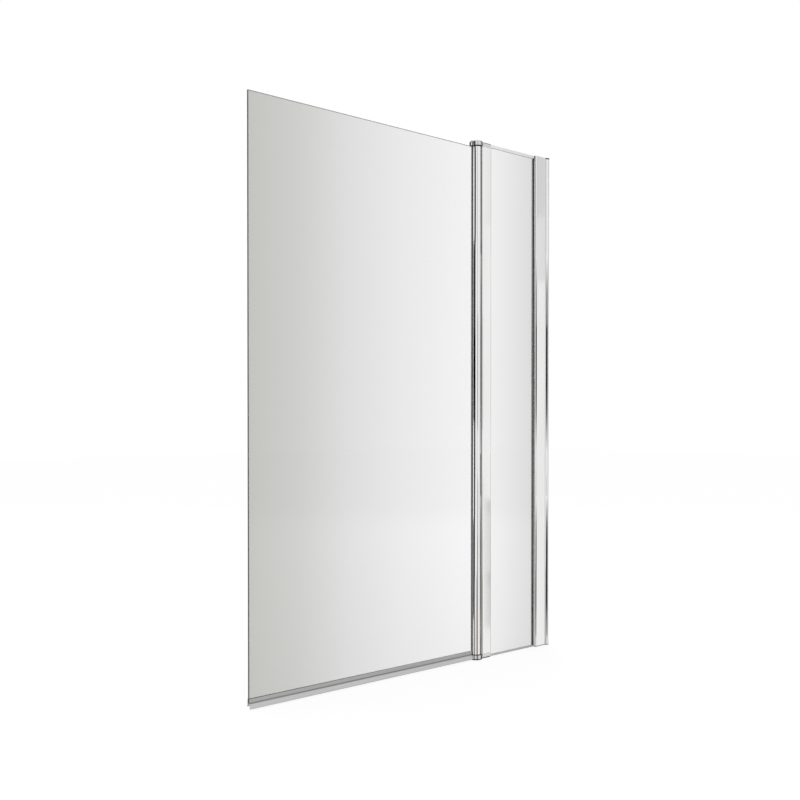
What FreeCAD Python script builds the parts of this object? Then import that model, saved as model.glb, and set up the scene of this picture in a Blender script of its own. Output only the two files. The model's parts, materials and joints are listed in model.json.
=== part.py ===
import FreeCAD, Part
import Sketcher
import math
import os
import re

# A bath screen: a fixed glass panel against the wall and a wider glass door that turns on a
# round column. The wall face is x = 0 and the screen runs from it towards negative x, to the
# door's free edge. Y is across the glass, with y = 0 in the middle of both panes, and z = 0
# is the rim of the bath. All sizes are millimetres.

doc = FreeCAD.newDocument("bath_screen")
sheet = doc.addObject("Spreadsheet::Sheet", "Sizes")

SIZES = {
    # the whole screen
    "screen_width": 1005.0,
    "screen_height": 1433.0,
    "pivot_distance": 283.0,
    "glass_thickness": 6.0,
    "glass_arris": 0.8,
    # what the flat extrusions and the column share
    "profile_depth": 22.0,
    "profile_wall": 1.6,
    "glass_bite": 8.2,
    "glass_end_gap": 0.4,
    "gasket_thickness": 2.2,
    "gasket_lip": 0.2,
    # frame profile, which slides on the wall channel
    "frame_mouth": 53.4,
    "frame_nose_radius": 5.8,
    "frame_cap_thickness": 1.5,
    "frame_cap_plug": 8.0,
    "frame_cap_plug_wall": 2.0,
    # wall channel and its rail
    "channel_width": 31.0,
    "channel_depth": 11.0,
    "channel_base": 1.8,
    "channel_side_run": 2.6,
    "channel_cap_height": 4.0,
    "channel_peg_length": 8.0,
    "channel_peg_width": 2.0,
    "channel_peg_gap": 0.2,
    "rail_reach": 36.0,
    "rail_hook": 1.6,
    "adjustment_travel": 4.0,
    "slide_clearance": 0.4,
    "wall_screw_radius": 2.5,
    "wall_screw_sink": 1.2,
    "wall_screw_end_distance": 100.0,
    # hinge post
    "post_reach": 48.0,
    "post_edge_radius": 2.0,
    "post_nose_run": 5.6,
    "cove_gap": 0.8,
    "cove_half_width": 8.8,
    "cove_web": 3.4,
    "port_rib": 6.4,
    "seal_strip_width": 3.0,
    "seal_strip_depth": 1.4,
    "seal_strip_gap": 0.3,
    # door column
    "column_radius": 16.0,
    "column_wall": 1.8,
    "column_rib": 1.6,
    "bush_radius": 5.5,
    "bush_length": 24.0,
    "bush_flange": 1.2,
    "bush_top_flange": 2.4,
    "bush_inset": 0.8,
    "bush_fit": 0.05,
    "pin_radius": 4.0,
    "pin_fit": 0.05,
    "pin_seat_fit": 0.02,
    "pin_seat_depth": 11.0,
    "pin_reach": 22.0,
    "washer_thickness": 0.7,
    "washer_radius": 9.0,
    "washer_fit": 0.2,
    "thrust_gap": 0.1,
    "head_gap": 3.0,
    # brackets
    "bracket_height": 14.0,
    "bracket_radius": 19.0,
    "bracket_arm_width": 24.0,
    "bracket_end_gap": 2.0,
    "bracket_rounding": 3.0,
    "bracket_softening": 0.9,
    "bracket_slot_gap": 0.3,
    "spigot_length": 12.0,
    "spigot_gap": 0.3,
    "bracket_screw_radius": 1.7,
    "bracket_screw_head": 3.5,
    "bracket_screw_length": 26.0,
    "bracket_screw_gap": 0.1,
    "bracket_hole_gap": 0.3,
    "thread_fit": 0.02,
    # rails on the fixed glass
    "top_rail_height": 8.0,
    "bottom_rail_height": 4.5,
    "rail_wall": 1.2,
    "rail_grip_gap": 0.1,
    "rail_end_gap": 0.2,
    "glass_block_height": 0.8,
    "glass_block_length": 40.0,
    "glass_block_inset": 30.0,
    # clamp screws of the frame profile
    "clamp_screw_radius": 2.0,
    "clamp_screw_head": 3.8,
    "clamp_screw_head_height": 2.2,
    "clamp_screw_inset": 26.0,
    "clamp_screw_end_distance": 150.0,
    "clamp_screw_hole_gap": 0.3,
    "clamp_nut_width": 7.0,
    "clamp_nut_height": 2.8,
    "clamp_nut_gap": 0.2,
    "screw_cap_radius": 5.5,
    "screw_cap_wall": 1.1,
    "screw_cap_gap": 0.2,
    # seal along the door's lower edge
    "seal_clip_height": 9.5,
    "seal_wall": 1.4,
    "seal_grip_gap": 0.1,
    "seal_web": 2.0,
    "seal_end_gap": 1.5,
    "fin_floor_gap": 3.0,
    "fin_thickness": 1.2,
    "fin_splay": 2.6,
    "back_fin_rise": 4.0,
}
WALL_SCREWS = 4
CLAMP_SCREWS = 3

for row, (alias, size) in enumerate(SIZES.items(), start=1):
    sheet.set(f"A{row}", alias)
    sheet.set(f"B{row}", str(size))
    sheet.setAlias(f"B{row}", alias)
doc.recompute()

ALIAS = re.compile(r"\b(" + "|".join(SIZES) + r")\b")
NEAR = 1e-4


# ---------------------------------------------------------------- sketches and features
def bound(expression):
    """The expression with every size read from the sheet."""
    return ALIAS.sub(r"Sizes.\1", expression)


def value(expression):
    """The number that an expression gives with the sheet's present sizes."""
    return float(sheet.evalExpression(bound(expression)))


def new_body(label):
    body = doc.addObject("PartDesign::Body", label)
    body.Label = label
    return body


def new_sketch(body, name, role="XY_Plane", across="0", start="0"):
    """A sketch on an origin plane, moved across in the plane and by start along its normal."""
    sketch = body.newObject("Sketcher::SketchObject", f"{body.Name}_{name}")
    plane = next(f for f in body.Origin.OriginFeatures if f.Role == role)
    sketch.AttachmentSupport = [(plane, "")]
    sketch.MapMode = "FlatFace"
    sketch.setExpression("AttachmentOffset.Base.x", bound(across))
    sketch.setExpression("AttachmentOffset.Base.z", bound(start))
    return sketch


def tie(sketch, kind, places, expression):
    """Adds a constraint whose number follows the sheet."""
    index = sketch.addConstraint(Sketcher.Constraint(kind, *places, value(expression)))
    sketch.setExpression(f"Constraints[{index}]", bound(expression))


def arc_between(start, end, radius, side, major):
    """An arc of a given radius that bulges to the left (side 1) or the right (side -1)."""
    chord = end - start
    normal = FreeCAD.Vector(-chord.y, chord.x, 0).normalize() * side
    drop = math.sqrt(max(radius ** 2 - (chord.Length / 2) ** 2, 0.0))
    rise = radius + drop if major else radius - drop
    return Part.Arc(start, (start + end) / 2 + normal * rise, end)


def bend(radius, side, major=False):
    """What follows a corner's x and y when an arc leads to the next corner."""
    return (radius, side, major)


def loop(sketch, corners):
    """A closed outline of lines and arcs whose corners and radii follow the sheet."""
    spots = [FreeCAD.Vector(value(corner[0]), value(corner[1]), 0) for corner in corners]
    ends = []
    for i, corner in enumerate(corners):
        start = spots[i]
        end = spots[(i + 1) % len(spots)]
        if len(corner) == 2:
            ends.append((sketch.addGeometry(Part.LineSegment(start, end), False), 1, 2))
            continue
        radius, side, major = corner[2:]
        index = sketch.addGeometry(arc_between(start, end, value(radius), side, major), False)
        tie(sketch, "Radius", (index,), radius)
        first = sketch.getPoint(index, 1).distanceToPoint(start)
        last = sketch.getPoint(index, 2).distanceToPoint(start)
        ends.append((index, 1, 2) if first < last else (index, 2, 1))
    for i, (index, first, last) in enumerate(ends):
        following = ends[(i + 1) % len(ends)]
        sketch.addConstraint(Sketcher.Constraint("Coincident", index, last, *following[:2]))
        tie(sketch, "DistanceX", (-1, 1, index, first), corners[i][0])
        tie(sketch, "DistanceY", (-1, 1, index, first), corners[i][1])


def box_loop(sketch, left, right, low, high):
    loop(sketch, [(left, low), (right, low), (right, high), (left, high)])


def symmetric(upper):
    """Closes an outline of the upper half with its mirror image below y = 0."""
    lower = []
    for i in range(len(upper) - 1, -1, -1):
        arc = upper[i - 1][2:] if i > 0 else ()
        lower.append((upper[i][0], f"-({upper[i][1]})") + tuple(arc))
    return list(upper) + lower


def ring(sketch, x, y, radius):
    """A circle whose centre and radius follow the sheet."""
    centre = FreeCAD.Vector(value(x), value(y), 0)
    circle = Part.Circle(centre, FreeCAD.Vector(0, 0, 1), value(radius))
    index = sketch.addGeometry(circle, False)
    tie(sketch, "Radius", (index,), radius)
    tie(sketch, "DistanceX", (-1, 1, index, 3), x)
    tie(sketch, "DistanceY", (-1, 1, index, 3), y)


def feature(body, kind, name, profile=None, reverse=False):
    made = body.newObject(f"PartDesign::{kind}", f"{body.Name}_{name}")
    if profile:
        made.Profile = profile
        made.Reversed = reverse
        profile.Visibility = False
    return made


def pad(body, name, sketch, length, reverse=False):
    """Adds along the sketch's normal, or against it when reversed."""
    made = feature(body, "Pad", name, sketch, reverse)
    made.setExpression("Length", bound(length))
    doc.recompute()


def pocket(body, name, sketch, depth, reverse=False):
    """Cuts against the sketch's normal, or along it when reversed, and checks the cut."""
    before = body.Shape.Volume
    made = feature(body, "Pocket", name, sketch, reverse)
    made.setExpression("Length", bound(depth))
    doc.recompute()
    if body.Shape.Volume > before - NEAR:
        raise RuntimeError(f"{made.Name} cuts nothing")


def chamfer(body, name, test, size):
    """A chamfer on every edge of the body that passes the test."""
    base = body.Tip
    names = [f"Edge{i}" for i, edge in enumerate(base.Shape.Edges, start=1) if test(edge)]
    made = feature(body, "Chamfer", name)
    made.Base = (base, names)
    made.setExpression("Size", bound(size))
    doc.recompute()
    if not names or base.Shape.isEqual(made.Shape):
        raise RuntimeError(f"{made.Name} found no edge")


def in_plane(edge, axis, place):
    """True for an edge that lies in the plane where one coordinate has one value."""
    box = edge.BoundBox
    low = getattr(box, f"{axis}Min")
    high = getattr(box, f"{axis}Max")
    return abs(low - place) < NEAR and abs(high - place) < NEAR


def is_circle(edge, radius):
    return isinstance(edge.Curve, Part.Circle) and abs(edge.Curve.Radius - radius) < NEAR


def extrusion(label, corners, floor, height, holes=()):
    """A profile that stands along z, with an outline and closed chambers."""
    body = new_body(label)
    section = new_sketch(body, "section", start=floor)
    loop(section, corners)
    for hole in holes:
        loop(section, hole)
    pad(body, "length", section, height)
    return body


def turn(body, name, corners, x, role="XZ_Plane", start="0"):
    """Adds a round form from half its section, about z (XZ_Plane) or about y (XY_Plane)."""
    section = new_sketch(body, f"{name}_half_section", role, x, start)
    loop(section, corners)
    made = feature(body, "Revolution", name, section)
    made.ReferenceAxis = (section, ["V_Axis"])
    made.Angle = 360
    doc.recompute()


def turned(label, corners, x, role="XZ_Plane", start="0"):
    """A piece that is turned as a whole."""
    body = new_body(label)
    turn(body, "turn", corners, x, role, start)
    return body


def group(label, bodies):
    """Identical pieces that share one node."""
    made = doc.addObject("Part::Compound", label)
    made.Label = label
    made.Links = bodies
    doc.recompute()
    return made


# ---------------------------------------------------------------- places that pieces share
AXIS = "-pivot_distance"
TOP = "screen_height"
HALF_GLASS = "glass_thickness / 2"
HALF_DEPTH = "profile_depth / 2"
INNER_HALF = "(profile_depth / 2 - profile_wall)"
POCKET_HALF = "(glass_thickness / 2 + gasket_thickness)"
SHELF = f"({POCKET_HALF} + profile_wall)"

FRAME_BACK = "-(channel_base + adjustment_travel + slide_clearance)"
FRAME_MOUTH = "-frame_mouth"
FRAME_GLASS_EDGE = "(glass_bite - frame_mouth)"
FRAME_POCKET_END = f"({FRAME_GLASS_EDGE} + glass_end_gap)"
FRAME_WEB = f"({FRAME_POCKET_END} + profile_wall)"
FRAME_TOP = "(screen_height - frame_cap_thickness)"
CHANNEL_TOP = "(screen_height - channel_cap_height)"
RAIL_HALF = f"({INNER_HALF} - slide_clearance)"

POST_MOUTH = "(post_reach - pivot_distance)"
POST_GLASS_EDGE = f"({POST_MOUTH} - glass_bite)"
POST_POCKET_END = f"({POST_GLASS_EDGE} - glass_end_gap)"
POST_FLOOR = "bracket_height"
POST_HEIGHT = "(screen_height - 2 * bracket_height)"
COVE_RADIUS = "(column_radius + cove_gap)"
CHAMBER_LEFT = f"({AXIS} + {COVE_RADIUS} + cove_web)"
CHAMBER_RIGHT = f"({POST_POCKET_END} - profile_wall)"
PORT_X = f"(({CHAMBER_LEFT} + {CHAMBER_RIGHT}) / 2)"

COLUMN_FLOOR = "(bracket_height + washer_thickness + bush_flange + thrust_gap)"
COLUMN_TOP = "(screen_height - bracket_height - head_gap)"
COLUMN_HEIGHT = f"({COLUMN_TOP} - {COLUMN_FLOOR})"
COLUMN_POCKET_END = "(bush_radius + column_rib)"
DOOR_GLASS_EDGE = f"({AXIS} - {COLUMN_POCKET_END} - glass_end_gap)"

GLASS_FLOOR = "(rail_wall + glass_block_height)"
GLASS_TOP = "(screen_height - max(rail_wall; frame_cap_thickness) - rail_end_gap)"


def circle_x(radius, y):
    """The distance from a circle's centre to its edge at a given height y."""
    return f"sqrt({radius} ^ 2 - ({y}) ^ 2)"


# ---------------------------------------------------------------- wall channel
SIDE = "channel_width / 2"
LIP_TIP = f"({HALF_DEPTH} + slide_clearance)"
LIP_RISE = f"({SIDE} - {LIP_TIP})"
LIP_RUN = "(channel_depth - channel_side_run)"
LIP_RADIUS = f"(({LIP_RUN} ^ 2 + {LIP_RISE} ^ 2) / (2 * {LIP_RISE}))"
LIP_INNER = f"({LIP_RADIUS} - profile_wall)"
LIP_OUTLINE = [
    ("0", SIDE),
    ("-channel_side_run", SIDE, *bend(LIP_RADIUS, -1)),
    ("-channel_depth", LIP_TIP),
]


def make_wall_channel():
    """The curved lips hide the frame's open back, and the rail inside guides it."""
    tip_inner = f"-(channel_side_run + {circle_x(LIP_INNER, f'{LIP_RADIUS} - {LIP_RISE}')})"
    hook = f"({RAIL_HALF} - profile_wall - rail_hook)"
    upper = LIP_OUTLINE + [
        (tip_inner, LIP_TIP, *bend(LIP_INNER, 1)),
        ("-channel_side_run", f"{SIDE} - profile_wall"),
        ("-channel_base", f"{SIDE} - profile_wall"),
        ("-channel_base", RAIL_HALF),
        ("-rail_reach", RAIL_HALF),
        ("-rail_reach", hook),
        ("profile_wall - rail_reach", hook),
        ("profile_wall - rail_reach", f"{RAIL_HALF} - profile_wall"),
        ("-channel_base", f"{RAIL_HALF} - profile_wall"),
    ]
    body = extrusion("wall_channel", symmetric(upper), "0", CHANNEL_TOP)
    drill_wall_holes(body)
    mill_clamp_slots(body)
    return body


def drill_wall_holes(body):
    """Countersunk holes for wall screws, evenly spaced up the base."""
    holes = new_sketch(body, "wall_holes", "YZ_Plane")
    pitch = f"(screen_height - 2 * wall_screw_end_distance) / {WALL_SCREWS - 1}"
    for i in range(WALL_SCREWS):
        ring(holes, "0", f"wall_screw_end_distance + {i} * {pitch}", "wall_screw_radius")
    pocket(body, "wall_holes_cut", holes, "channel_base")
    room_side = -value("channel_base")
    radius = value("wall_screw_radius")
    chamfer(body, "countersinks",
            lambda edge: is_circle(edge, radius) and in_plane(edge, "X", room_side),
            "wall_screw_sink")


def clamp_height(i):
    span = "(screen_height - 2 * clamp_screw_end_distance)"
    return f"clamp_screw_end_distance + {i} * {span} / {CLAMP_SCREWS - 1}"


def mill_clamp_slots(body):
    """Slots in the rail's rear wall that let the frame move along with its clamp screws."""
    slots = new_sketch(body, "clamp_slots", "XZ_Plane", start=f"-{RAIL_HALF}")
    ends = new_sketch(body, "clamp_slot_ends", "XZ_Plane", start=f"-{RAIL_HALF}")
    half_width = "(clamp_screw_radius + clamp_screw_hole_gap)"
    left = "-(clamp_screw_inset + adjustment_travel)"
    right = "-(clamp_screw_inset - adjustment_travel)"
    for i in range(CLAMP_SCREWS):
        level = clamp_height(i)
        box_loop(slots, left, right, f"{level} - {half_width}", f"{level} + {half_width}")
        ring(ends, left, level, half_width)
        ring(ends, right, level, half_width)
    pocket(body, "clamp_slots_cut", slots, "profile_wall", reverse=True)
    pocket(body, "clamp_slot_ends_cut", ends, "profile_wall", reverse=True)


def make_wall_channel_cap():
    """A moulded end cap with the channel's outline, open where the frame slides."""
    corners = symmetric(LIP_OUTLINE + [("-channel_base", LIP_TIP)])
    body = extrusion("wall_channel_cap", corners, CHANNEL_TOP, "channel_cap_height")
    pegs = new_sketch(body, "pegs", start=CHANNEL_TOP)
    right = "-(channel_base + channel_peg_gap)"
    low = f"{LIP_TIP} + channel_peg_gap"
    high = f"{SIDE} - profile_wall - channel_peg_gap"
    box_loop(pegs, f"{right} - channel_peg_width", right, low, high)
    box_loop(pegs, f"{right} - channel_peg_width", right, f"-({high})", f"-({low})")
    pad(body, "pegs_down", pegs, "channel_peg_length", reverse=True)
    return body


# ---------------------------------------------------------------- frame profile
NOSE_RUN = circle_x("frame_nose_radius", f"{POCKET_HALF} - {HALF_DEPTH} + frame_nose_radius")
NOSE_START = f"({FRAME_MOUTH} + {NOSE_RUN})"
FRAME_NOSE = [
    (NOSE_START, HALF_DEPTH, *bend("frame_nose_radius", -1)),
    (FRAME_MOUTH, POCKET_HALF),
]


def side_chambers(left, right):
    """The two hollows beside a glazing pocket."""
    upper = [(left, SHELF), (right, SHELF), (right, INNER_HALF), (left, INNER_HALF)]
    lower = [(x, f"-({y})") for x, y in upper]
    return [upper, lower]


def make_frame_profile():
    """Open at the back over the rail, with a rounded nose each side of the fixed glass."""
    upper = [(FRAME_WEB, INNER_HALF), (FRAME_BACK, INNER_HALF), (FRAME_BACK, HALF_DEPTH)]
    upper += FRAME_NOSE
    upper += [(FRAME_POCKET_END, POCKET_HALF)]
    holes = side_chambers(NOSE_START, FRAME_POCKET_END)
    body = extrusion("frame_profile", symmetric(upper), "0", FRAME_TOP, holes)
    screws = new_sketch(body, "clamp_holes", "XZ_Plane", start=f"-{HALF_DEPTH}")
    for i in range(CLAMP_SCREWS):
        ring(screws, "-clamp_screw_inset", clamp_height(i), "clamp_screw_radius + thread_fit")
    pocket(body, "clamp_holes_cut", screws, "profile_wall", reverse=True)
    return body


def make_frame_cap():
    """Closes the frame's top; its plug stands between the web and the rail."""
    corners = symmetric([(FRAME_BACK, HALF_DEPTH)] + FRAME_NOSE)
    body = extrusion("frame_cap", corners, FRAME_TOP, "frame_cap_thickness")
    plug = new_sketch(body, "plug", start=FRAME_TOP)
    left = f"{FRAME_WEB} + channel_peg_gap"
    half = f"({INNER_HALF} - channel_peg_gap)"
    box_loop(plug, left, f"{left} + frame_cap_plug_wall", f"-{half}", half)
    pad(body, "plug_down", plug, "frame_cap_plug", reverse=True)
    return body


# ---------------------------------------------------------------- hinge post
def make_hinge_post():
    """Coved round the door column on one side, with a glazing pocket on the other."""
    cove_x = circle_x(COVE_RADIUS, "cove_half_width")
    nose_drop = f"({HALF_DEPTH} - cove_half_width)"
    nose_radius = f"((post_nose_run ^ 2 + {nose_drop} ^ 2) / (2 * {nose_drop}))"
    strip_half = "seal_strip_width / 2"
    upper = [
        (POST_POCKET_END, POCKET_HALF),
        (POST_MOUTH, POCKET_HALF),
        (POST_MOUTH, f"{HALF_DEPTH} - post_edge_radius", *bend("post_edge_radius", -1)),
        (f"{POST_MOUTH} - post_edge_radius", HALF_DEPTH),
        (f"{AXIS} + {cove_x} + post_nose_run", HALF_DEPTH, *bend(nose_radius, -1)),
        (f"{AXIS} + {cove_x}", "cove_half_width", *bend(COVE_RADIUS, 1)),
        (f"{AXIS} + {circle_x(COVE_RADIUS, strip_half)}", strip_half),
        (f"{AXIS} + {COVE_RADIUS} + seal_strip_depth", strip_half),
    ]
    rib = "port_rib / 2"
    chamber = [(CHAMBER_LEFT, rib), (CHAMBER_RIGHT, rib),
               (CHAMBER_RIGHT, INNER_HALF), (CHAMBER_LEFT, INNER_HALF)]
    holes = [chamber, [(x, f"-({y})") for x, y in chamber]]
    holes += side_chambers(POST_POCKET_END, f"{POST_MOUTH} - post_edge_radius - profile_wall")
    body = extrusion("hinge_post", symmetric(upper), POST_FLOOR, POST_HEIGHT, holes)
    port = new_sketch(body, "screw_port", start=POST_FLOOR)
    ring(port, PORT_X, "0", "bracket_screw_radius + thread_fit")
    pocket(body, "screw_port_cut", port, POST_HEIGHT, reverse=True)
    return body


def make_column_seal():
    """A strip in the cove that keeps water from passing behind the column."""
    left = f"{AXIS} + column_radius + seal_strip_gap"
    right = f"{AXIS} + {COVE_RADIUS} + seal_strip_depth"
    half = "seal_strip_width / 2"
    corners = [(left, f"-{half} / 2"), (f"{left} + seal_strip_gap", f"-{half}"),
               (right, f"-{half}"), (right, half),
               (f"{left} + seal_strip_gap", half), (left, f"{half} / 2")]
    return extrusion("column_seal", corners, POST_FLOOR, POST_HEIGHT)


# ---------------------------------------------------------------- gaskets
def gasket(label, pocket_end, mouth, outward, side, floor, height):
    """A wedge strip between the glass and one wall of a pocket, with a lip at its mouth."""
    lip = f"{mouth} {outward} gasket_lip"
    corners = [
        (pocket_end, HALF_GLASS),
        (lip, HALF_GLASS),
        (lip, f"{POCKET_HALF} - gasket_lip"),
        (mouth, POCKET_HALF),
        (pocket_end, POCKET_HALF),
    ]
    if side == "back":
        return extrusion(f"{label}_{side}", corners, floor, height)
    flipped = [(x, f"-({y})") for x, y in corners]
    return extrusion(f"{label}_{side}", flipped, floor, height)


def make_gaskets():
    slot_edge = f"{AXIS} - {circle_x('column_radius', POCKET_HALF)}"
    slot_end = f"{AXIS} - {COLUMN_POCKET_END}"
    between_rails = f"{TOP} - top_rail_height - bottom_rail_height - 2 * rail_end_gap"
    above_rail = "bottom_rail_height + rail_end_gap"
    made = []
    for side in ("front", "back"):
        made.append(gasket("frame_gasket", FRAME_POCKET_END, FRAME_MOUTH, "-", side,
                           above_rail, between_rails))
        made.append(gasket("post_gasket", POST_POCKET_END, POST_MOUTH, "+", side,
                           POST_FLOOR, POST_HEIGHT))
        made.append(gasket("column_gasket", slot_end, slot_edge, "-", side,
                           COLUMN_FLOOR, COLUMN_HEIGHT))
    return made


# ---------------------------------------------------------------- glass
def pane(label, left, right, floor, height):
    """A toughened pane with ground arrises along both faces."""
    body = new_body(label)
    plan = new_sketch(body, "plan", start=floor)
    box_loop(plan, left, right, f"-{HALF_GLASS}", HALF_GLASS)
    pad(body, "height", plan, height)
    face = value(HALF_GLASS)
    chamfer(body, "arris",
            lambda edge: in_plane(edge, "Y", face) or in_plane(edge, "Y", -face),
            "glass_arris")
    return body


def make_fixed_glass():
    return pane("fixed_glass", POST_GLASS_EDGE, FRAME_GLASS_EDGE, GLASS_FLOOR,
                f"{GLASS_TOP} - {GLASS_FLOOR}")


def make_door_glass():
    return pane("door_glass", "-screen_width", DOOR_GLASS_EDGE, COLUMN_FLOOR, COLUMN_HEIGHT)


# ---------------------------------------------------------------- rails on the fixed glass
def rail(label, web_side, web_inside, open_side):
    """A U-shaped strip along one edge of the fixed glass, from the post to the frame."""
    body = new_body(label)
    start = f"{POST_MOUTH} + rail_end_gap"
    section = new_sketch(body, "section", "YZ_Plane", start=start)
    inner = f"({HALF_GLASS} + rail_grip_gap)"
    outer = f"({inner} + rail_wall)"
    loop(section, [
        (f"-{outer}", web_side), (outer, web_side), (outer, open_side), (inner, open_side),
        (inner, web_inside), (f"-{inner}", web_inside), (f"-{inner}", open_side),
        (f"-{outer}", open_side),
    ])
    pad(body, "length", section, f"{FRAME_MOUTH} - {POST_MOUTH} - 2 * rail_end_gap")
    return body


def make_top_rail():
    return rail("top_rail", TOP, f"{TOP} - rail_wall", f"{TOP} - top_rail_height")


def make_bottom_rail():
    return rail("bottom_rail", "0", "rail_wall", "bottom_rail_height")


def make_glass_blocks():
    """Two setting blocks carry the fixed glass in the bottom rail."""
    near_post = f"{POST_MOUTH} + glass_block_inset"
    near_frame = f"{FRAME_MOUTH} - glass_block_inset - glass_block_length"
    blocks = []
    for place, left in (("post", near_post), ("frame", near_frame)):
        block = new_body(f"glass_block_{place}")
        plan = new_sketch(block, "plan", start="rail_wall")
        box_loop(plan, left, f"{left} + glass_block_length", f"-{HALF_GLASS}", HALF_GLASS)
        pad(block, "height", plan, "glass_block_height")
        blocks.append(block)
    return group("glass_blocks", blocks)


# ---------------------------------------------------------------- brackets
def make_bracket(label):
    """A round head under the column and an arm screwed to the end of the post."""
    body = new_body(label)
    plan = new_sketch(body, "arm_plan")
    box_loop(plan, AXIS, f"({POST_MOUTH} - bracket_end_gap)",
             "-bracket_arm_width / 2", "bracket_arm_width / 2")
    pad(body, "arm", plan, "bracket_height")
    axis = value(AXIS)
    rounding = value("bracket_rounding")
    chamfer(body, "rounding",
            lambda edge: in_plane(edge, "Z", 0) and not in_plane(edge, "X", axis),
            "bracket_rounding")
    chamfer(body, "face_softening",
            lambda edge: in_plane(edge, "Z", 0) and not in_plane(edge, "X", axis),
            "bracket_softening")
    chamfer(body, "side_softening", lambda edge: in_plane(edge, "Z", rounding),
            "bracket_softening")
    cut = "bracket_softening / sqrt(2)"
    turn(body, "head", [
        ("0", "0"),
        ("bracket_radius - bracket_rounding - bracket_softening", "0"),
        (f"bracket_radius - bracket_rounding + {cut}", cut),
        (f"bracket_radius - {cut}", f"bracket_rounding - {cut}"),
        ("bracket_radius", "bracket_rounding + bracket_softening"),
        ("bracket_radius", "bracket_height"),
        ("0", "bracket_height"),
    ], AXIS)

    slot = new_sketch(body, "glass_slot", start="bracket_height")
    slot_half = f"({HALF_GLASS} + bracket_slot_gap)"
    box_loop(slot, f"{POST_GLASS_EDGE} - bracket_slot_gap", POST_MOUTH,
             f"-{slot_half}", slot_half)
    pocket(body, "glass_slot_cut", slot, "bracket_height")

    seat = new_sketch(body, "pin_seat", start="bracket_height")
    ring(seat, AXIS, "0", "pin_radius + pin_seat_fit")
    pocket(body, "pin_seat_cut", seat, "pin_seat_depth")

    hole = new_sketch(body, "screw_hole", start="bracket_height")
    ring(hole, PORT_X, "0", "bracket_screw_radius + bracket_hole_gap")
    pocket(body, "screw_hole_cut", hole, "bracket_height")
    radius = value("bracket_screw_radius + bracket_hole_gap")
    chamfer(body, "countersink",
            lambda edge: is_circle(edge, radius) and in_plane(edge, "Z", 0),
            "bracket_screw_head - bracket_screw_radius - bracket_hole_gap + bracket_screw_gap")

    spigots = new_sketch(body, "spigots", start="bracket_height")
    left = f"{CHAMBER_LEFT} + spigot_gap"
    right = f"{CHAMBER_RIGHT} - spigot_gap"
    low = "port_rib / 2 + spigot_gap"
    high = f"{INNER_HALF} - spigot_gap"
    box_loop(spigots, left, right, low, high)
    box_loop(spigots, left, right, f"-({high})", f"-({low})")
    pad(body, "spigots_up", spigots, "spigot_length")
    return body


def make_brackets():
    """The same moulding twice, turned over about x for the top of the screen."""
    bottom = make_bracket("bottom_bracket")
    top = make_bracket("top_bracket")
    top.Placement = FreeCAD.Placement(
        FreeCAD.Vector(0, 0, value(TOP)), FreeCAD.Rotation(FreeCAD.Vector(1, 0, 0), 180))
    top.setExpression("Placement.Base.z", bound(TOP))
    return [bottom, top]


def make_bracket_screws():
    """One countersunk screw through each bracket into the post's screw port."""
    made = []
    for place, outer, inward in (("top", TOP, "-"), ("bottom", "0", "+")):
        corners = [
            ("0", outer),
            ("bracket_screw_head", outer),
            ("bracket_screw_radius",
             f"{outer} {inward} (bracket_screw_head - bracket_screw_radius)"),
            ("bracket_screw_radius", f"{outer} {inward} bracket_screw_length"),
            ("0", f"{outer} {inward} bracket_screw_length"),
        ]
        made.append(turned(f"bracket_screw_{place}", corners, PORT_X))
    return group("bracket_screws", made)


# ---------------------------------------------------------------- pivot
def make_pivot_pins():
    """Steel pins seated in the brackets, on which the column's bushes turn."""
    made = []
    for place, inner, away in (("top", f"{TOP} - bracket_height", "-"),
                               ("bottom", "bracket_height", "+")):
        toward = "-" if away == "+" else "+"
        seat = f"({inner} {toward} pin_seat_depth)"
        tip = f"({inner} {away} pin_reach)"
        made.append(turned(f"pivot_pin_{place}", [
            ("0", seat),
            ("pin_radius", seat),
            ("pin_radius", tip),
            ("0", tip),
        ], AXIS))
    return made


def make_pivot_bushes():
    """Flanged bushes in the ends of the column's bore. The top one nearly fills the gap."""
    bore = "pin_radius + pin_fit"
    made = []
    for place, end, inward, thickness in (("top", COLUMN_TOP, "-", "bush_top_flange"),
                                          ("bottom", COLUMN_FLOOR, "+", "bush_flange")):
        outward = "-" if inward == "+" else "+"
        flange = f"{end} {outward} {thickness}"
        far = f"{end} {inward} bush_length"
        made.append(turned(f"pivot_bush_{place}", [
            (bore, flange),
            ("column_radius - bush_inset", flange),
            ("column_radius - bush_inset", end),
            ("bush_radius - bush_fit", end),
            ("bush_radius - bush_fit", far),
            (bore, far),
        ], AXIS))
    return made


def make_thrust_washer():
    """Carries the door's weight on the bottom bracket."""
    inner = "pin_radius + washer_fit"
    return turned("thrust_washer", [
        (inner, "bracket_height"),
        ("washer_radius", "bracket_height"),
        ("washer_radius", "bracket_height + washer_thickness"),
        (inner, "bracket_height + washer_thickness"),
    ], AXIS)


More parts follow.
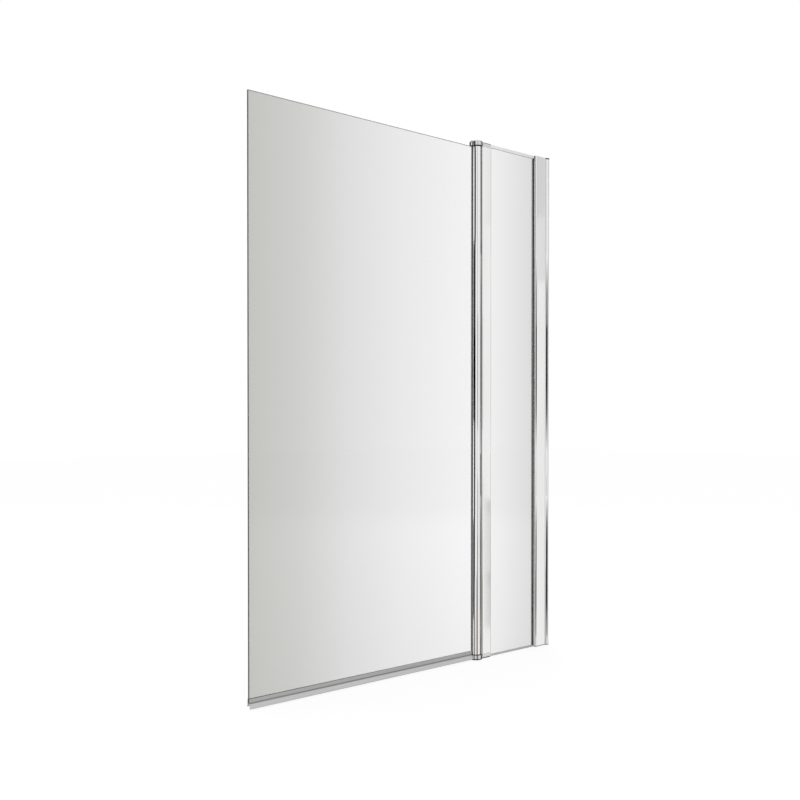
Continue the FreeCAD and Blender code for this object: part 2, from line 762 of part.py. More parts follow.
def make_pivot_column():
    """A round tube with a glazing slot, a bore for the bushes and two hollow chambers."""
    slot_edge = f"{AXIS} - {circle_x('column_radius', POCKET_HALF)}"
    slot_end = f"{AXIS} - {COLUMN_POCKET_END}"
    outline = [
        (slot_end, f"-{POCKET_HALF}"),
        (slot_edge, f"-{POCKET_HALF}", *bend("column_radius", -1, major=True)),
        (slot_edge, POCKET_HALF),
        (slot_end, POCKET_HALF),
    ]
    tube = "(column_radius - column_wall)"
    rib = "column_rib / 2"
    shelf = f"({POCKET_HALF} + column_rib)"
    chamber = [
        (f"{AXIS} + {circle_x(tube, rib)}", rib, *bend(tube, -1)),
        (f"{AXIS} - {circle_x(tube, shelf)}", shelf),
        (AXIS, shelf, *bend(shelf, 1)),
        (f"{AXIS} + {circle_x(shelf, rib)}", rib),
    ]
    lower = [(x, f"-({y})", *([arc[0], -arc[1], arc[2]] if arc else []))
             for x, y, *arc in chamber]
    body = extrusion("pivot_column", outline, COLUMN_FLOOR, COLUMN_HEIGHT, [chamber, lower])
    bore = new_sketch(body, "bore", start=COLUMN_FLOOR)
    ring(bore, AXIS, "0", "bush_radius")
    pocket(body, "bore_cut", bore, COLUMN_HEIGHT, reverse=True)
    return body


# ---------------------------------------------------------------- clamp screws of the frame
def make_clamp_screws():
    """Screws, nuts and caps that lock the frame on the rail, on the side away from the front."""
    rail_inner = f"({RAIL_HALF} - profile_wall)"
    nut_far = f"({rail_inner} - clamp_nut_gap - clamp_nut_height)"
    head_top = f"({HALF_DEPTH} + clamp_screw_head_height)"
    cap_inner = "(screw_cap_radius - screw_cap_wall)"
    screws = []
    nuts = []
    caps = []
    for i in range(CLAMP_SCREWS):
        level = clamp_height(i)
        screws.append(turned(f"clamp_screw_{i + 1}", [
            ("0", nut_far),
            ("clamp_screw_radius", nut_far),
            ("clamp_screw_radius", HALF_DEPTH),
            ("clamp_screw_head", HALF_DEPTH),
            ("clamp_screw_head", head_top),
            ("0", head_top),
        ], "-clamp_screw_inset", "XY_Plane", level))
        caps.append(turned(f"screw_cap_{i + 1}", [
            (cap_inner, HALF_DEPTH),
            ("screw_cap_radius", HALF_DEPTH),
            ("screw_cap_radius", head_top),
            (cap_inner, f"{head_top} + screw_cap_gap + screw_cap_wall"),
            ("0", f"{head_top} + screw_cap_gap + screw_cap_wall"),
            ("0", f"{head_top} + screw_cap_gap"),
            (cap_inner, f"{head_top} + screw_cap_gap"),
        ], "-clamp_screw_inset", "XY_Plane", level))
        nuts.append(make_clamp_nut(i, nut_far))
    return [group("clamp_screws", screws), group("clamp_nuts", nuts),
            group("screw_caps", caps)]


def make_clamp_nut(i, far_side):
    nut = new_body(f"clamp_nut_{i + 1}")
    face = new_sketch(nut, "face", "XZ_Plane", start=f"-{far_side}")
    half = "clamp_nut_width / 2"
    box_loop(face, f"-clamp_screw_inset - {half}", f"-clamp_screw_inset + {half}",
             f"{clamp_height(i)} - {half}", f"{clamp_height(i)} + {half}")
    ring(face, "-clamp_screw_inset", clamp_height(i), "clamp_screw_radius + thread_fit")
    pad(nut, "thickness", face, "clamp_nut_height", reverse=True)
    return nut


# ---------------------------------------------------------------- seal under the door
def make_bottom_seal():
    """A clip-on strip with a splayed fin in front and a shorter one behind."""
    body = new_body("bottom_seal")
    section = new_sketch(body, "section", "YZ_Plane", start="-screen_width")
    inner = f"({HALF_GLASS} + seal_grip_gap)"
    outer = f"({inner} + seal_wall)"
    clip_top = f"({COLUMN_FLOOR} + seal_clip_height)"
    seat = f"({COLUMN_FLOOR} - seal_grip_gap)"
    web = f"({seat} - seal_web)"
    front_low = "fin_floor_gap"
    back_low = "(fin_floor_gap + back_fin_rise)"
    splayed = f"({outer} + fin_splay)"
    loop(section, [
        (f"-{outer}", clip_top), (f"-{outer}", web),
        (f"-{splayed}", front_low), (f"-{splayed} + fin_thickness", front_low),
        (f"-{outer} + fin_thickness", web), (f"{outer} - fin_thickness", web),
        (f"{splayed} - fin_thickness", back_low), (splayed, back_low),
        (outer, web), (outer, clip_top), (inner, clip_top), (inner, seat),
        (f"-{inner}", seat), (f"-{inner}", clip_top),
    ])
    pad(body, "length", section, "screen_width - pivot_distance - bracket_radius - seal_end_gap")
    return body


# ---------------------------------------------------------------- build and write
def make_all():
    nodes = [
        make_wall_channel(), make_wall_channel_cap(), make_frame_profile(), make_frame_cap(),
        make_hinge_post(), make_column_seal(), make_fixed_glass(), make_top_rail(),
        make_bottom_rail(), make_glass_blocks(), make_bracket_screws(), make_thrust_washer(),
        make_pivot_column(), make_door_glass(), make_bottom_seal(),
    ]
    for several in (make_gaskets(), make_brackets(), make_pivot_pins(), make_pivot_bushes(),
                    make_clamp_screws()):
        nodes += several
    return nodes


def check(nodes):
    failed = [o.Name for o in doc.Objects if {"Invalid", "Error"} & set(o.State)]
    failed += [n.Label for n in nodes if n.Shape.isNull() or not n.Shape.isValid()]
    if failed:
        raise RuntimeError("failed objects: " + ", ".join(failed))


nodes = make_all()
doc.recompute()
check(nodes)
os.makedirs("parts", exist_ok=True)
for node in nodes:
    node.Shape.exportStep(f"parts/{node.Label}.step")
    box = node.Shape.BoundBox
    print(f"{node.Label:18s} solids {len(node.Shape.Solids)} volume {node.Shape.Volume:11.1f} "
          f"x {box.XMin:8.2f} {box.XMax:8.2f} y {box.YMin:6.2f} {box.YMax:6.2f} "
          f"z {box.ZMin:7.2f} {box.ZMax:7.2f}")
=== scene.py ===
# %% [markdown]
# # A glass bath screen
# A bath screen is mostly clear glass and polished metal. Both show little of their own colour:
# the eye reads them by what they reflect and by their edges. So this lesson spends its effort on
# three things, in this order: the camera, a white studio with dark cards for the metal to reflect,
# and one finish for each material. The pieces come from the CAD model, which is loaded first.

# %% Load the model
import itertools
import json
import math

import bmesh
import bpy
from mathutils import Matrix, Vector


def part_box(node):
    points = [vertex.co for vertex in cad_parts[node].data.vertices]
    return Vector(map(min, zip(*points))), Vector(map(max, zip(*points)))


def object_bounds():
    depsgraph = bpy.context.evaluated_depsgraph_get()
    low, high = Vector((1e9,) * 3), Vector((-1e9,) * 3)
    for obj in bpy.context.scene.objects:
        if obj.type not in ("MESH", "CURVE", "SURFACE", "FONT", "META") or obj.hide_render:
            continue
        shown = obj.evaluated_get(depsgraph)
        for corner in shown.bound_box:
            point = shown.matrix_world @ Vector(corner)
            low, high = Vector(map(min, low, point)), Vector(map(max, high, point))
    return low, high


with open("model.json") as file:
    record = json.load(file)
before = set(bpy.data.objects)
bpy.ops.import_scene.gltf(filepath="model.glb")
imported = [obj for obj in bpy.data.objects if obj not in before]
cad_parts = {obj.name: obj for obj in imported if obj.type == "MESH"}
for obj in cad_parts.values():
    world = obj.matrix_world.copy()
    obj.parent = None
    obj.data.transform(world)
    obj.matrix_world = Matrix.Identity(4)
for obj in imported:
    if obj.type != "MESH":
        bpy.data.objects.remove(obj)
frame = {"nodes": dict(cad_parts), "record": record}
nodes = frame["nodes"]
cad_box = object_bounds()
cad_low, cad_high = (Vector(corner) for corner in cad_box)
print(f"{len(nodes)} pieces, box {[round(v, 3) for v in cad_high - cad_low]} m")

# %% [markdown]
# ## The camera
# The photograph was taken from the front left, at about half the screen's height, with the
# uprights kept parallel. A lens shift does that: the camera looks almost level and the picture is
# moved up on the film, so vertical edges stay vertical. The camera's place, turn and lens were
# fitted to the edges of both panes and of the column. Lengths are in metres, angles in degrees,
# and the lens and the film in millimetres.

# %% Place the camera
CAMERA_PLACE = (-2.0987, -1.8753, 0.6678)
CAMERA_YAW = 39.446
CAMERA_PITCH = -0.610
CAMERA_LENS = 42.251
CAMERA_SHIFT = 0.03568
FILM_WIDTH = 36.0

camera_data = bpy.data.cameras.new("camera")
camera_data.lens = CAMERA_LENS
camera_data.sensor_width = FILM_WIDTH
camera_data.shift_y = CAMERA_SHIFT
camera = bpy.data.objects.new("camera", camera_data)
camera.location = CAMERA_PLACE
camera.rotation_euler = (math.radians(90 + CAMERA_PITCH), 0, math.radians(-CAMERA_YAW))
bpy.context.scene.collection.objects.link(camera)
bpy.context.scene.camera = camera
print(f"camera {CAMERA_LENS} mm, {abs(CAMERA_PLACE[1]):.2f} m in front of the glass")

# %% [markdown]
# ## Node trees as arithmetic
# A finish is a graph of nodes. Drawn by hand in the editor it is quick to read; written out call
# by call it isn't. So a socket is wrapped in a small class that knows plus, minus, times and
# divide, and one method makes every other kind of node.

# %% A socket that does sums
class Reading:
    """A value that a node tree works out. Sums on it add Math nodes."""

    def __init__(self, tree, socket):
        self.tree = tree
        self.socket = socket

    def sum_of(self, operation, first, second):
        return self.tree.node("ShaderNodeMath", {"operation": operation}, {0: first, 1: second})

    def __add__(self, other):
        return self.sum_of("ADD", self, other)

    def __sub__(self, other):
        return self.sum_of("SUBTRACT", self, other)

    def __rsub__(self, other):
        return self.sum_of("SUBTRACT", other, self)

    def __mul__(self, other):
        return self.sum_of("MULTIPLY", self, other)

    def __truediv__(self, other):
        return self.sum_of("DIVIDE", self, other)

    def __lt__(self, other):
        return self.sum_of("LESS_THAN", self, other)

    def __gt__(self, other):
        return self.sum_of("GREATER_THAN", self, other)

    __radd__ = __add__
    __rmul__ = __mul__


def between(low, high, reading):
    """From low where the reading is 0 to high where it is 1."""
    return low + (high - low) * reading


# %% A tree that makes nodes
# A Mix node has sockets of one name for numbers, vectors and colours. Those for colours are found
# by their places.
MIX_FACTOR, MIX_FIRST, MIX_SECOND, MIX_RESULT = 0, 6, 7, 2


class Tree:
    """The node tree of a finish or of the world."""

    def __init__(self, node_tree):
        self.nodes = node_tree.nodes
        self.links = node_tree.links
        self.nodes.clear()

    def node(self, kind, settings=None, inputs=None, output=0):
        """A new node with its settings, then its inputs, as the reading of one output."""
        made = self.nodes.new(kind)
        for name, setting in (settings or {}).items():
            if name == "stops":
                self.set_stops(made.color_ramp.elements, setting)
            else:
                setattr(made, name, setting)
        for name, given in (inputs or {}).items():
            if isinstance(given, Reading):
                self.links.new(given.socket, made.inputs[name])
            else:
                made.inputs[name].default_value = given
        return Reading(self, made.outputs[output]) if len(made.outputs) else made

    @staticmethod
    def set_stops(elements, stops):
        while len(elements) < len(stops):
            elements.new(1.0)
        for element, (place, colour) in zip(elements, stops):
            element.position = place
            element.color = colour

    def ramp(self, place, stops):
        """The colour at a place between 0 and 1 in a row of stops."""
        return self.node("ShaderNodeValToRGB", {"stops": stops}, {0: place})

    def mix(self, factor, first, second):
        """Between two colours."""
        return self.node("ShaderNodeMix", {"data_type": "RGBA", "clamp_factor": True},
                         {MIX_FACTOR: factor, MIX_FIRST: first, MIX_SECOND: second},
                         output=MIX_RESULT)

    def any_of(self, mask, *others):
        """1 where one of the masks is 1."""
        for other in others:
            mask = self.node("ShaderNodeMath", {"operation": "MAXIMUM"}, {0: mask, 1: other})
        return mask

    def light_path(self, output):
        return self.node("ShaderNodeLightPath", output=output)

    def along(self, axis):
        """The place of a point along X, Y or Z, in metres."""
        place = self.node("ShaderNodeTexCoord", output="Object")
        return self.node("ShaderNodeSeparateXYZ", None, {"Vector": place}, output=axis)

    def noise(self, size, stretch=(1, 1, 1), detail=2.0):
        """Noise with features of that size in metres, stretched along x, y or z."""
        place = self.node("ShaderNodeTexCoord", output="Object")
        scale = tuple(1 / (size * factor) for factor in stretch)
        mapped = self.node("ShaderNodeMapping", None, {"Vector": place, "Scale": scale})
        return self.node("ShaderNodeTexNoise", None,
                         {"Vector": mapped, "Scale": 1.0, "Detail": detail})

    def bump(self, height, depth, strength):
        """A surface that rises and falls with the height, by as much as the depth in metres."""
        return self.node("ShaderNodeBump", None,
                         {"Height": height, "Distance": depth, "Strength": strength})

    def principled(self, inputs):
        return self.node("ShaderNodeBsdfPrincipled", None, inputs)

    def blend(self, factor, first, second):
        """Between two shaders."""
        return self.node("ShaderNodeMixShader", None, {0: factor, 1: first, 2: second})

    def finish_with(self, shader):
        self.node("ShaderNodeOutputMaterial", None, {"Surface": shader})


# %% A starting point for every finish
def new_finish(name):
    material = bpy.data.materials.new(name)
    material.use_nodes = True
    return material, Tree(material.node_tree)


# %% [markdown]
# ## Colours as the eye sees them
# Blender works with the strength of the light, but a picture stores levels from 0 to 255 on a
# curve that suits the eye. All greys in this lesson are written as such levels, because that is
# what can be read from a photograph, and one function takes them back along the curve.

# %% From a level to a colour
WHITE = (1, 1, 1, 1)
NO_TINT = (1.0, 1.0, 1.0)


def seen(level, tint=NO_TINT):
    """The colour of a grey that shows as that level, 0 to 255, with a slight tint."""
    grey = level / 255
    linear = grey / 12.92 if grey <= 0.04045 else ((grey + 0.055) / 1.055) ** 2.4
    return (*(linear * part for part in tint), 1)


print("a mid grey of 128 is", round(seen(128)[0], 3))

# %% [markdown]
# ## The studio
# Polished metal in an all-white room looks like plaster. Photographers stand dark cards just
# outside the picture, and the metal draws them as crisp dark lines. The room here is white for
# every ray that the camera, a reflection or the glass sends out, and a little darker as a light
# source, so that pale plastic keeps its shading.

# %% The room
ROOM_LIGHT = 0.78

world = bpy.data.worlds.new("room")
world.use_nodes = True
bpy.context.scene.world = world
bpy.context.scene.view_settings.view_transform = "Standard"


def looked_at(tree):
    """1 where the camera, a reflection or the glass looks, 0 where light is gathered."""
    return tree.any_of(tree.light_path("Is Camera Ray"), tree.light_path("Is Glossy Ray"),
                       tree.light_path("Is Transmission Ray"))


room = Tree(world.node_tree)
sky = room.node("ShaderNodeBackground", None,
                {"Color": WHITE, "Strength": between(ROOM_LIGHT, 1, looked_at(room))})
room.node("ShaderNodeOutputWorld", None, {"Surface": sky})
print("room light", ROOM_LIGHT)

# %% [markdown]
# ## The floor
# The screen stands on a pale floor that is far wider than the picture. A white sheet would need
# strong lamps to look white, and they would bleach the part. So the floor is a dull grey that
# takes the part's shadow, plus an even glow, which is weaker as a light source than it looks. It
# lies a hair below the part's feet, so that no faces coincide. The metal doesn't mirror it,
# because the cards stand for the ground there.

# %% A pale floor
FLOOR_DROP = 0.0006
FLOOR_HALF = 14.0
FLOOR_COLOUR = (0.20, 0.20, 0.20, 1)
FLOOR_GLOW = 0.835
FLOOR_SHINE = 0.55


def studio_object(name, shape):
    """An object made of a bmesh, and the empty node tree of its own finish."""
    mesh = bpy.data.meshes.new(name)
    shape.to_mesh(mesh)
    shape.free()
    made = bpy.data.objects.new(name, mesh)
    bpy.context.scene.collection.objects.link(made)
    material, tree = new_finish(name)
    mesh.materials.append(material)
    return made, tree


sheet = bmesh.new()
bmesh.ops.create_grid(sheet, x_segments=1, y_segments=1, size=FLOOR_HALF)
bmesh.ops.translate(sheet, verts=sheet.verts, vec=(0, 0, -FLOOR_DROP))
floor, paint = studio_object("floor", sheet)
glow = between(FLOOR_SHINE, FLOOR_GLOW, looked_at(paint))
matt = paint.node("ShaderNodeBsdfDiffuse", None, {"Color": FLOOR_COLOUR})
lit = paint.node("ShaderNodeEmission", None, {"Color": WHITE, "Strength": glow})
paint.finish_with(paint.node("ShaderNodeAddShader", None, {0: matt, 1: lit}))
floor.visible_glossy = False
print("floor", 2 * FLOOR_HALF, "m wide")

# %% [markdown]
# ## Two soft lamps
# The room alone lights everything evenly. A large lamp above the camera gives the caps and the
# seal a bright and a darker side, and a weaker one behind keeps the back from going flat. Neither
# shows in the metal or the glass, which mirror the room and its cards alone.

# %% Place the lamps
LAMP_SIZE = 1.8


def soft_lamp(name, place, target, power):
    """A square lamp that faces the target. Power in watts."""
    data = bpy.data.lights.new(name, "AREA")
    data.shape = "SQUARE"
    data.size = LAMP_SIZE
    data.energy = power
    lamp = bpy.data.objects.new(name, data)
    lamp.location = place
    facing = Vector(target) - Vector(place)
    lamp.rotation_euler = facing.to_track_quat("-Z", "Y").to_euler()
    lamp.visible_camera = lamp.visible_glossy = lamp.visible_transmission = False
    bpy.context.scene.collection.objects.link(lamp)
    print(name, power, "W")


middle = (cad_low + cad_high) / 2
soft_lamp("key_lamp", place=(-2.6, -2.4, 2.9), target=middle, power=34)
soft_lamp("fill_lamp", place=(1.8, 2.6, 2.4), target=middle, power=20)

# %% [markdown]
# ## Cards for the metal to reflect
# The column is a vertical mirror cylinder: a card that stands at an angle from it shows as a
# vertical line on it. An image wrapped round the room could hold such cards too, but upright
# strips can be moved one by one. A card is seen by reflections only, so it casts no shadow and
# never shows in the picture. Sharp reflections that come straight off a piece or through a pane
# pass the cards by. So the cards stay on the metal, which is never perfectly smooth, and leave
# the glass clean.

# %% A piece that only soft reflections see
HALF_STEP = 0.5


def painted(surface, colour):
    """The colour as it is, or for a list of heights and levels the grey that fades along it."""
    if not isinstance(colour, list):
        return colour
    low, high = colour[0][0], colour[-1][0]
    stops = [((height - low) / (high - low), seen(level)) for height, level in colour]
    return surface.ramp((surface.along("Z") - low) / (high - low), stops)


def stage_piece(name, shape, colour):
    """A glowing piece of the studio. Bounces are whole numbers, so halves tell them apart."""
    made, surface = studio_object(name, shape)
    sharp = surface.light_path("Is Singular Ray")
    straight = surface.light_path("Ray Depth") < 1 + HALF_STEP
    through_glass = surface.light_path("Transmission Depth") > HALF_STEP
    shown = surface.node("ShaderNodeEmission", None,
                         {"Color": painted(surface, colour), "Strength": 1.0})
    clear = surface.node("ShaderNodeBsdfTransparent")
    surface.finish_with(surface.blend(sharp * surface.any_of(straight, through_glass),
                                      shown, clear))
    made.visible_camera = made.visible_diffuse = made.visible_shadow = False
    made.visible_transmission = made.visible_volume_scatter = False


# %% A card and its zones
FAR = 3.2
CARD_STEPS = 8

joints = {joint["name"]: joint for joint in frame["record"]["behaviour"]["joints"]}
axis_x = joints["door_pivot"]["pos_m"][0]
card_numbers = itertools.count(1)
print("the column's axis is", -axis_x, "m from the wall")


def card_zone(name, centre_x, distance, angles, low, high, colour):
    """An upright curved strip between two angles in degrees and two heights in metres."""
    start, stop = angles
    strip = bmesh.new()
    first = Matrix.Rotation(math.radians(start), 4, "Z") @ Vector((distance, 0, low))
    foot = strip.verts.new(first)
    head = strip.verts.new(first + Vector((0, 0, high - low)))
    edge = strip.edges.new((foot, head))
    bmesh.ops.spin(strip, geom=[foot, head, edge], cent=(0, 0, 0), axis=(0, 0, 1),
                   angle=math.radians(stop - start), steps=CARD_STEPS, use_merge=False)
    bmesh.ops.translate(strip, verts=strip.verts, vec=(centre_x, 0, 0))
    stage_piece(name, strip, colour)


def stand_card(name, zones, centre_x=axis_x, distance=FAR):
    """A card round the column's axis, or round another upright line, in numbered zones."""
    for angles, low, high, colour in zones:
        zone_name = f"card_{name}_{next(card_numbers)}"
        card_zone(zone_name, centre_x, distance, angles, low, high, colour)
    print("card", name, "in", len(zones), "zones")


# %% [markdown]
# ## Where the cards stand
# Angles are counted from +x, anticlockwise as seen from above, round the column's axis. So 180 is
# the free edge's side, 270 the front and 90 the back. Each card is painted in zones, mostly from
# the top down, because a real studio is darker and warmer near the ground.

# %% Cards at the sides
LOW, HIGH = -3.0, 5.0
PALE_FROM = 1.75
WARM_BELOW = -0.3
WARM = (1.0, 0.88, 0.79)
PINK = (1.0, 0.93, 0.91)


def side_zones(angles):
    """Paler above the part, dark beside it, and warm towards the ground."""
    return [(angles, PALE_FROM, HIGH, seen(90)), (angles, WARM_BELOW, PALE_FROM, seen(40)),
            (angles, LOW, WARM_BELOW, seen(70, WARM))]


stand_card("left", [
    ((150, 212), 2.335, HIGH, seen(10)), ((190, 221), PALE_FROM, 2.335, seen(70)),
    ((176, 215), 1.2, PALE_FROM, seen(56)), ((172, 216), 0.85, 1.2, seen(8)),
    ((178, 216), 0.65, 0.85, seen(44)), ((187, 213), 0.3, 0.65, seen(30)),
    ((187, 211), 0.05, 0.3, seen(34)), ((172, 208), -0.33, 0.05, seen(52)),
    ((170, 204), -0.56, -0.33, seen(38)), ((186, 212), LOW, -0.56, seen(160, WARM))])
stand_card("right", side_zones((307, 311.7)))
stand_card("far_right", side_zones((322.5, 360)))

# %% [markdown]
# The front card gives the column a pale grey band to the right of its middle, and the one at the
# camera's side warms its foot. The card behind draws the dark line at the column's left limb.
# Seen from the back, the flat faces of the profiles would mirror it whole and turn black, so it
# has two openings, where they see the white room. The last card stands so low at the wall's side
# that only steep reflections see it.

# %% Cards in front and behind
BEHIND_DARKER = -0.1

stand_card("front", [
    ((244, 262), 1.3, HIGH, seen(214)), ((245, 269), 0.6, 1.3, seen(186)),
    ((244, 260), 0.3, 0.6, seen(232)), ((247, 270), -0.05, 0.3, seen(198)),
    ((248, 270), -0.33, -0.05, seen(165, PINK)), ((248, 268), LOW, -0.33, seen(142, PINK))])
stand_card("camera_side", [((227, 248), LOW, WARM_BELOW, seen(206, PINK))])
stand_card("behind", [
    (angles, low, high, colour)
    for angles in ((56, 73.4), (76.0, 81.2), (84.6, 125))
    for low, high, colour in ((BEHIND_DARKER, HIGH, seen(48)), (LOW, BEHIND_DARKER, seen(26)))])
stand_card("under", [((-30, 50), LOW, -1.0, seen(52, WARM))])

# %% [markdown]
# The lip of the wall profile has a dark line that comes and goes as it runs down. A far card
# would show on the other profiles too. Two narrow cards stand close to the lip instead, so each
# height of theirs shows at nearly the same height on it. Their grey fades along the height, up to
# the room's own white where they should vanish. The strips after them stand far off again, where
# the camera sees them in the flat front faces.

# %% Near cards, and strips for the flat faces
NEAR = 0.14
LIP_X = -0.030
# Heights in metres, from the foot up, each with the level that the card has there.
UPPER_FADE = [(0.56, 255), (0.60, 215), (0.644, 168), (0.682, 112), (0.72, 76), (0.755, 36),
              (0.77, 2), (0.943, 2), (0.960, 118), (1.00, 140), (1.054, 150), (1.105, 205),
              (1.17, 255)]
LOWER_FADE = [(0.0, 176), (0.04, 150), (0.077, 96), (0.10, 56), (0.29, 58), (0.304, 84),
              (0.342, 124), (0.385, 196), (0.43, 255)]

stand_card("near", [(angles, fade[0][0], fade[-1][0], fade)
                    for angles, fade in (((239, 297), UPPER_FADE), ((247, 304), LOWER_FADE))],
           centre_x=LIP_X, distance=NEAR)
stand_card("flats", [
    ((315.0, 316.8), 1.85, HIGH, seen(245)), ((316.8, 320.1), 1.85, HIGH, seen(238)),
    ((320.1, 321.5), 1.9, HIGH, seen(222)), ((320.1, 321.5), 1.5, 1.9, seen(236)),
    ((315.0, 316.4), 0.09, 0.17, seen(200)), ((315.0, 316.4), -0.28, 0.09, seen(222)),
    ((315.0, 316.4), -0.36, -0.28, seen(196)), ((315.0, 316.4), -0.62, -0.36, seen(214))])

# %% [markdown]
# A reflection that goes steeply down would still see the white room between the feet of the
# cards. A darker disc there, as wide as a studio's rug, closes the gap.

# %% A rug below, which steep reflections see
RUG_RADIUS = 2.5
RUG_SIDES = 32

rug = bmesh.new()
bmesh.ops.create_circle(rug, cap_ends=True, segments=RUG_SIDES, radius=RUG_RADIUS)
bmesh.ops.translate(rug, verts=rug.verts, vec=(axis_x, 0, LOW))
stage_piece("rug", rug, seen(140, WARM))
print("rug", 2 * RUG_RADIUS, "m across")

# %% [markdown]
# ## Polished metal
# Extruded aluminium that has been polished and bright anodised keeps a trace of the die: very fine
# lines along its length. They are far too fine to draw one by one, so noise stretched nearly a
# thousand times along z bends the reflections a little. At the foot the lowest two millimetres are
# painted dark grey: a painted contact shadow where the profiles stand on the floor.

# %% Polished aluminium
DIE_LINE = 0.0009
DIE_RUN = 900
LINE_DEPTH = 0.00002
HAZE = 0.05
# The height of the painted contact shadow at the foot of the profiles.
PAINTED_FOOT_SHADOW = 0.0018


def dress(slot_name, material):
    """Gives the material to every CAD piece with that slot in the record."""
    owned = [part["node"] for part in frame["record"]["subparts"]
             if part["material_slot"] == slot_name]
    for name in owned:
        for place in nodes[name].material_slots:
            place.material = material
    print(slot_name, "on", len(owned), "pieces")


polished, tree = new_finish("polished_aluminium")
lines = tree.noise(DIE_LINE, (1, 1, DIE_RUN))
haze = tree.noise(HAZE, (1, 1, 6), detail=3.0)
tone = tree.mix(haze, seen(240), seen(233, (1.0, 0.995, 0.985)))
# Painted shadow: dark grey below that height, where the profiles meet the floor.
tone = tree.mix(tree.along("Z") < PAINTED_FOOT_SHADOW, tone, seen(70))
tree.finish_with(tree.principled({
    "Base Color": tone, "Metallic": 1.0, "Roughness": between(0.045, 0.095, haze),
    "Normal": tree.bump(lines, LINE_DEPTH, 0.08)}))
dress("polished_profile", polished)

# %% [markdown]
# The strip under the fixed pane is the same metal with a satin face, and it lies across, so its
# lines run along x. It is rougher, so it shows no picture of the room, only a sheen.

# %% Satin strip under the fixed pane
satin, tree = new_finish("satin_strip")
lines = tree.noise(DIE_LINE, (DIE_RUN, 1, 1))
tree.finish_with(tree.principled({
    "Base Color": tree.mix(lines, seen(200), seen(214)), "Metallic": 1.0,
    "Roughness": between(0.24, 0.32, lines), "Normal": tree.bump(lines, LINE_DEPTH, 0.4)}))
dress("satin_strip", satin)

# %% [markdown]
# The brackets and screw caps are cast or moulded and then chromed. They have no lines, only a
# faint ripple under the plating, which noise of one size gives. At the floor the bottom bracket
# mirrors its own shadow. A card can't stand there, so its lowest few millimetres have a darker
# tone.

# %% Chrome on moulded pieces
FOOT = 0.0042
RIPPLE = 0.012
RIPPLE_DEPTH = 0.0002

chrome, tree = new_finish("chrome")
ripple = tree.noise(RIPPLE)
tone = tree.mix(ripple, seen(214), seen(206))
tone = tree.mix(tree.along("Z") < FOOT, tone, seen(104, WARM))
tree.finish_with(tree.principled({
    "Base Color": tone, "Metallic": 1.0, "Roughness": between(0.05, 0.09, ripple),
    "Normal": tree.bump(ripple, RIPPLE_DEPTH, 0.3)}))
dress("chromed_bracket", chrome)

# %% [markdown]
# Screws, nuts and pins are turned from plain steel. Turning leaves fine rings round an upright
# pin, which noise makes when it is drawn out along x and y and left short along z. The screws lie
# across, but so little of them shows that the same finish does for them.

# %% Stainless steel for the hidden screws and pins
TURNED_RING = 0.0006
RING_DEPTH = 0.00005

steel, tree = new_finish("stainless_steel")
turning = tree.noise(TURNED_RING, (20, 20, 1))
tree.finish_with(tree.principled({
    "Base Color": tree.mix(turning, seen(200), seen(212)), "Metallic": 1.0,
    "Roughness": between(0.25, 0.37, turning), "Normal": tree.bump(turning, RING_DEPTH, 0.4)}))
dress("stainless_steel", steel)

# %% [markdown]
# ## Glass
# Clear glass lets the white room through and shows its ground edges as thin dark green-grey lines.
# Over it each pane has a painted reflection: a grey that changes across the pane, a little greyer
# towards the free edge. The grey is in the colour that the glass passes on, so whatever stands
# behind the pane is seen through it. Each pane has its own tones, as stops from its left edge to
# its right. Where the fixed pane sits in the rail and the strip, it is bedded in white tape.

# %% One pane's finish
EDGE_BAND = 0.0010
EDGE_ROUGHNESS = 0.12
DRIFT = 0.35
DRIFT_SHARE = 0.05
FACE_SHEEN = 0.10


def passed_on(level, tint=NO_TINT):
    """The tint that makes the white room show as that level, with the sheen of the faces on it."""
    red_green_blue = seen(level, tint)[:3]
    return (*((part - FACE_SHEEN) / (1 - FACE_SHEEN) for part in red_green_blue), 1)


def pane_finish(node, tones, bedded=None):
    """Clear glass whose tone follows x, with darker ground edges at its outline.

    Between the two bedded heights the pane is clear; above and below them it is white."""
    low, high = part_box(node)
    material, tree = new_finish(node)
    x, z = tree.along("X"), tree.along("Z")
    # The painted reflection: a grey ramp of the tones across the pane.
    clear = tree.ramp((x - low.x) / (high.x - low.x), tones)
    clear = tree.mix(DRIFT_SHARE * tree.noise(DRIFT, (1, 1, 3)), clear, seen(205))
    ground = tree.any_of(x < low.x + EDGE_BAND, z > high.z - EDGE_BAND,
                         z < low.z + EDGE_BAND, x > high.x - EDGE_BAND)
    colour = tree.mix(ground, clear, seen(120, (0.92, 1.0, 0.96)))
    glass = tree.principled({"Base Color": colour, "Roughness": EDGE_ROUGHNESS * ground,
                             "IOR": 1.5, "Transmission Weight": 1.0})
    if bedded:
        covered = tree.any_of(z < bedded[0], z > bedded[1])
        tape = tree.principled({"Base Color": seen(235), "Roughness": 0.6})
        glass = tree.blend(covered, glass, tape)
    tree.finish_with(glass)
    for place in nodes[node].material_slots:
        place.material = material
    print(node, "in", len(tones), "tones")


# %% The two panes
WARM_GREY = (1.0, 1.0, 0.955)
PALE_GREY = (1.0, 1.0, 0.98)

# Each pane's painted reflection, as levels from its left edge to its right.
pane_finish("door_glass", [
    (0.0, passed_on(200, WARM_GREY)), (0.19, passed_on(210, PALE_GREY)),
    (0.40, passed_on(225)), (0.63, passed_on(235)), (0.93, passed_on(243)),
    (1.0, passed_on(244))])
pane_finish("fixed_glass", [
    (0.0, passed_on(241)), (0.13, passed_on(240)), (0.92, passed_on(223)),
    (1.0, passed_on(222))], bedded=(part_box("bottom_rail")[1].z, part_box("top_rail")[0].z))

# %% [markdown]
# ## Rubber and plastic
# The dark gaskets are matt rubber that was pressed through a die, so their grain is drawn out
# along z. The clear ones are smooth and show only cloudy streaks. A fine noise is enough for
# both, because they show as thin lines.

# %% Gaskets
GRAIN_DEPTH = 0.0001
STREAK = 0.003


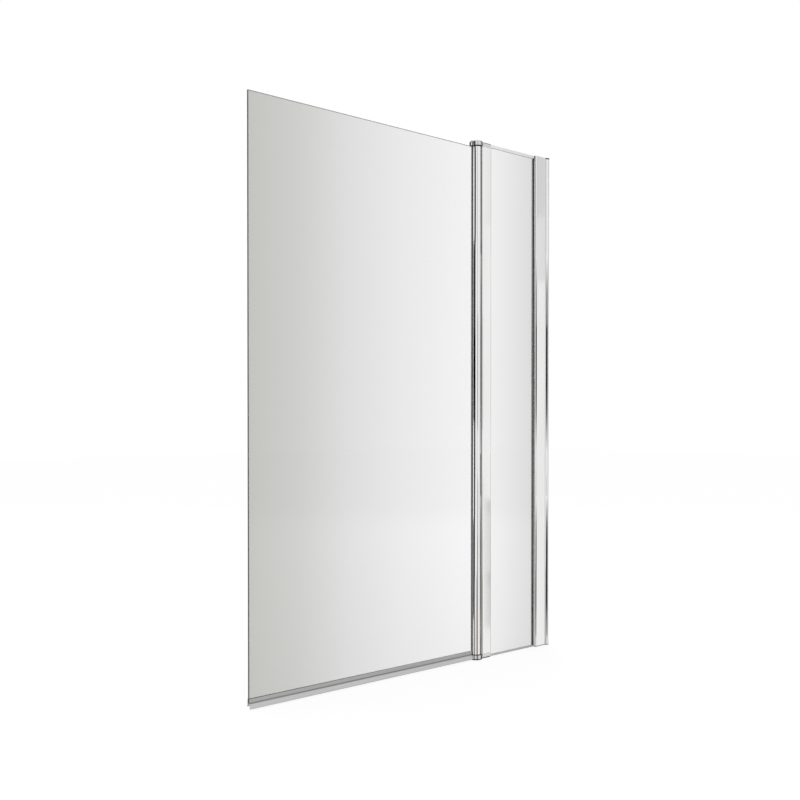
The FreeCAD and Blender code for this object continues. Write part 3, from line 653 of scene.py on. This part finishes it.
def grained(slot_name, name, tones, size, roughness, relief, stretch=(1, 1, 1)):
    """Rubber or moulded plastic: a fine grain between two tones and two roughnesses."""
    material, tree = new_finish(name)
    grain = tree.noise(size, stretch, detail=3.0)
    tree.finish_with(tree.principled({
        "Base Color": tree.mix(grain, *tones), "Roughness": between(*roughness, grain),
        "Normal": tree.bump(grain, GRAIN_DEPTH, relief)}))
    dress(slot_name, material)


grained("dark_gasket", "gasket_rubber", tones=(seen(66), seen(86)), size=0.0012,
        roughness=(0.55, 0.75), relief=0.4, stretch=(1, 1, 4))

cushion, tree = new_finish("clear_gasket")
streaks = tree.noise(STREAK, (1, 1, 10))
tree.finish_with(tree.principled({
    "Base Color": tree.mix(streaks, seen(196), seen(208)), "Roughness": 0.35}))
dress("clear_gasket", cushion)

# %% [markdown]
# ## The drip seal
# The strip on the door's lower edge is a clear soft extrusion: a clip that grips the glass, a web
# at the glass's edge, and below it a thin fin that sheds the water. It looks grey where it is
# thick. Real refraction in so thin a strip is slow and noisy, so the tone is painted by height
# instead: the web and both edges have greys of their own.

# %% Seal
WEB_LEVEL = 0.0163
WEB_HALF = 0.0016
FIN_TOP = 0.0135
EDGE_LINE = 0.0012
CLIP_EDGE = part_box("bottom_seal")[1].z - EDGE_LINE
FIN_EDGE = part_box("bottom_seal")[0].z + EDGE_LINE
FLOW = 0.004
FLOW_DEPTH = 0.0002
LILAC = (1.0, 0.985, 1.01)

strip_finish, tree = new_finish("clear_strip")
flow = tree.noise(FLOW, (40, 1, 1))
height = tree.along("Z")
clip_tone = tree.mix(flow, seen(168, LILAC), seen(180))
fin_tone = tree.mix(flow, seen(196, LILAC), seen(206))
web_line = (height < WEB_LEVEL + WEB_HALF) * (height > WEB_LEVEL - WEB_HALF)
seal_tone = tree.mix(height < FIN_TOP, clip_tone, fin_tone)
seal_tone = tree.mix(height < FIN_EDGE, seal_tone, seen(170))
seal_tone = tree.mix(height > CLIP_EDGE, seal_tone, seen(186))
seal_tone = tree.mix(web_line, seal_tone, seen(128))
tree.finish_with(tree.principled({
    "Base Color": seal_tone, "Roughness": between(0.22, 0.32, flow), "IOR": 1.45,
    "Normal": tree.bump(flow, FLOW_DEPTH, 0.3)}))
dress("clear_seal", strip_finish)

# %% [markdown]
# ## Moulded plastic
# The end cap, the bushes, the thrust washer and the setting blocks come out of moulds with a
# lightly sparked face. They get the gaskets' grain, without the stretch.

# %% End cap, acetal and nylon
grained("end_cap", "moulded_cap", tones=(seen(70), seen(84)), size=0.0008,
        roughness=(0.35, 0.50), relief=0.5)
grained("black_acetal", "black_acetal", tones=(seen(34), seen(46)), size=0.0015,
        roughness=(0.40, 0.55), relief=0.3)
grained("nylon", "nylon", tones=(seen(232), seen(242, (1.0, 0.99, 0.97))), size=0.0015,
        roughness=(0.40, 0.55), relief=0.3)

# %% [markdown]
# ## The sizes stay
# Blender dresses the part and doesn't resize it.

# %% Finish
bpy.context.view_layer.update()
